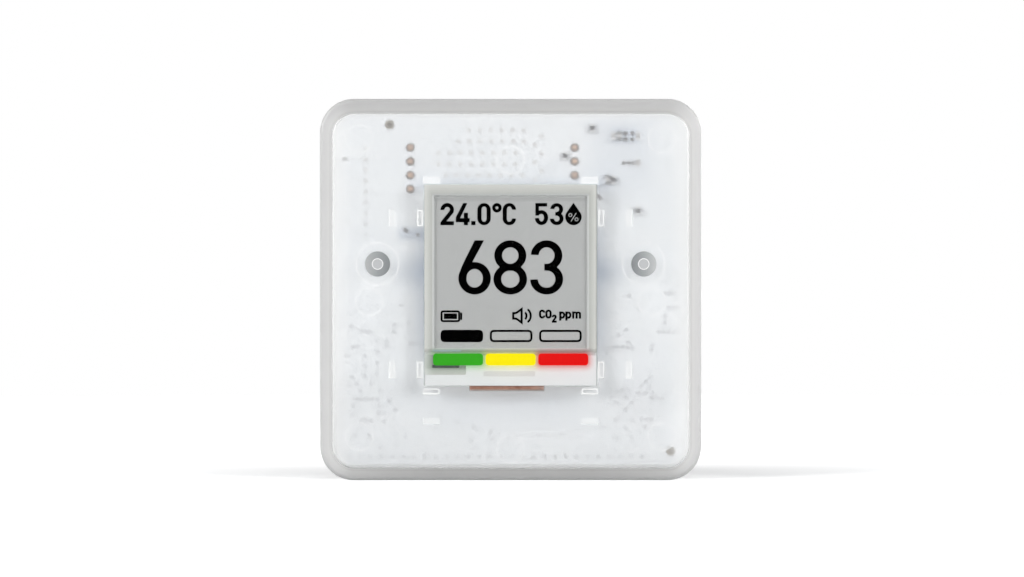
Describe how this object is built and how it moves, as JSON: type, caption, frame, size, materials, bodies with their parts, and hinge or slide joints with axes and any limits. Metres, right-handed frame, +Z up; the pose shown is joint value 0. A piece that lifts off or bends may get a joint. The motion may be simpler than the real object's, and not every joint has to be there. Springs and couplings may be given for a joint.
{
  "type": "carbon dioxide monitor",
  "caption": "Square desk and wall air monitor: frosted cover over an e-paper readout, white board and gas sensor, with AA cells behind a hinged rear door.",
  "frame": {"origin": "middle of the footprint, on the surface that the monitor stands on", "axes": "+X to the right seen from the front, +Y out of the back, +Z up; the display faces -Y"},
  "size_m": [0.07, 0.024, 0.07],
  "materials": {
    "frosted_plastic": "frosted, see-through",
    "case_plastic": "fine matte",
    "door_plastic": "fine matte",
    "screw_steel": "zinc plated",
    "board_white": "white solder mask",
    "carrier_plastic": "moulded",
    "panel_glass": "thin glass",
    "epaper_film": "matt e-paper",
    "gasket_foam": "soft foam",
    "white_tape": "matt tape",
    "driver_silicon": "bare silicon",
    "flex_copper": "copper under a clear film",
    "connector_plastic": "moulded",
    "chip_black": "moulded package",
    "crystal_can": "pressed can",
    "antenna_ceramic": "ceramic",
    "ferrite": "ferrite",
    "sensor_can": "pressed can",
    "buzzer_plastic": "moulded",
    "capacitor_ceramic": "ceramic",
    "resistor_body": "ceramic",
    "switch_steel": "pressed sheet",
    "switch_plastic": "moulded",
    "sensor_board": "green solder mask",
    "gilded_plastic": "gilded",
    "lamp_package": "ceramic",
    "filter_cloth": "fine membrane",
    "gilded_pins": "gilded",
    "cell_steel": "nickel plated",
    "cell_sleeve": "printed sleeve, plain",
    "contact_steel": "nickel plated"
  },
  "bodies": {
    "case": {"front_cover": "frosted_plastic", "rear_shell": "case_plastic", "case_screws": "screw_steel", "main_board": "board_white", "display_carrier": "carrier_plastic", "epaper_glass": "panel_glass", "epaper_film": "epaper_film", "display_gasket": "gasket_foam", "ledge_tape": "white_tape", "driver_chip": "driver_silicon", "display_flex": "flex_copper", "flex_connector": "connector_plastic", "bluetooth_chip": "chip_black", "memory_chip": "chip_black", "clock_crystal": "crystal_can", "antenna": "antenna_ceramic", "power_inductor": "ferrite", "climate_sensor": "chip_black", "pressure_sensor": "sensor_can", "buzzer": "buzzer_plastic", "capacitors": "capacitor_ceramic", "resistors": "resistor_body", "calibration_switch_body": "switch_steel", "buzzer_switch_body": "switch_steel", "calibrate_button_body": "switch_steel", "co2_sensor_board": "sensor_board", "co2_sensor_chamber": "gilded_plastic", "co2_sensor_lamp": "lamp_package", "co2_sensor_detector": "chip_black", "co2_sensor_filter": "filter_cloth", "co2_sensor_pins": "gilded_pins", "upper_battery": "cell_steel", "upper_battery_sleeve": "cell_sleeve", "lower_battery": "cell_steel", "lower_battery_sleeve": "cell_sleeve", "positive_contact": "contact_steel", "negative_contact": "contact_steel", "bridge_contact": "contact_steel", "negative_spring": "contact_steel", "bridge_spring": "contact_steel"},
    "door": {"battery_door": "door_plastic"},
    "calibration_slider": {"calibration_switch_slider": "switch_plastic"},
    "buzzer_slider": {"buzzer_switch_slider": "switch_plastic"},
    "calibrate_plunger": {"calibrate_button_plunger": "switch_plastic"}
  },
  "joints": [
    {"name": "door_hinge", "type": "hinge", "parent": "case", "child": "door", "pos_m": [0, 0.0108, 0.044], "axis": [1, 0, 0], "range_deg": [0, 95]},
    {"name": "calibration_switch", "type": "slide", "parent": "case", "child": "calibration_slider", "axis": [1, 0, 0], "range_m": [0, 0.002]},
    {"name": "buzzer_switch", "type": "slide", "parent": "case", "child": "buzzer_slider", "axis": [1, 0, 0], "range_m": [0, 0.002]},
    {"name": "calibrate_button", "type": "slide", "parent": "case", "child": "calibrate_plunger", "axis": [0, -1, 0], "range_m": [0, 0.0003], "stiffness_N_per_m": 4000, "springref_m": -0.0001}
  ]
}
